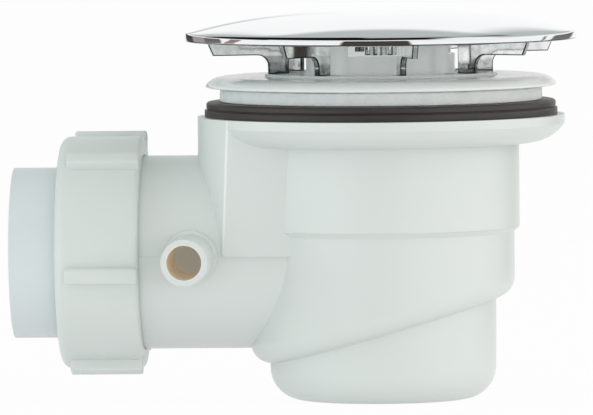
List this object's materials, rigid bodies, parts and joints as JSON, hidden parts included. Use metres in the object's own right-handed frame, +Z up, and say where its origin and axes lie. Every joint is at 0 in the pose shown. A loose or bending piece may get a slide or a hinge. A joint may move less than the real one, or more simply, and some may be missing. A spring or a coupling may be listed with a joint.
{
  "type": "shower waste trap",
  "caption": "Shower tray waste trap with domed chrome cover, clamping flange and gaskets, water seal cup with sloping shelf, side outlet with compression nut and hose nozzle.",
  "frame": {"origin": "middle of the lower cup's flat underside, on the vertical axis of the waste", "axes": "+Z up along the axis of cup, flange and cover, -X along the outlet pipe, -Y along the hose nozzle"},
  "size_m": [0.1655, 0.1155, 0.1144],
  "materials": {
    "chrome_cover": "polished chrome plating on plastic",
    "white_gloss": "glossy moulded plastic",
    "white_body": "semi-gloss moulded plastic",
    "white_nut": "semi-gloss moulded plastic",
    "white_pipe": "smooth drawn plastic pipe",
    "white_foam": "fine closed-cell foam",
    "black_rubber": "smooth moulded rubber"
  },
  "bodies": {
    "root": {"cover": "chrome_cover", "strainer": "white_gloss", "dip_tube": "white_body", "dip_tube_o_ring": "black_rubber", "top_flange": "white_gloss", "foam_gasket": "white_foam", "rubber_gasket": "black_rubber", "trap_body": "white_body", "outlet_nut": "white_nut", "slip_ring": "white_body", "cone_washer": "black_rubber", "outlet_pipe": "white_pipe"}
  },
  "joints": []
}
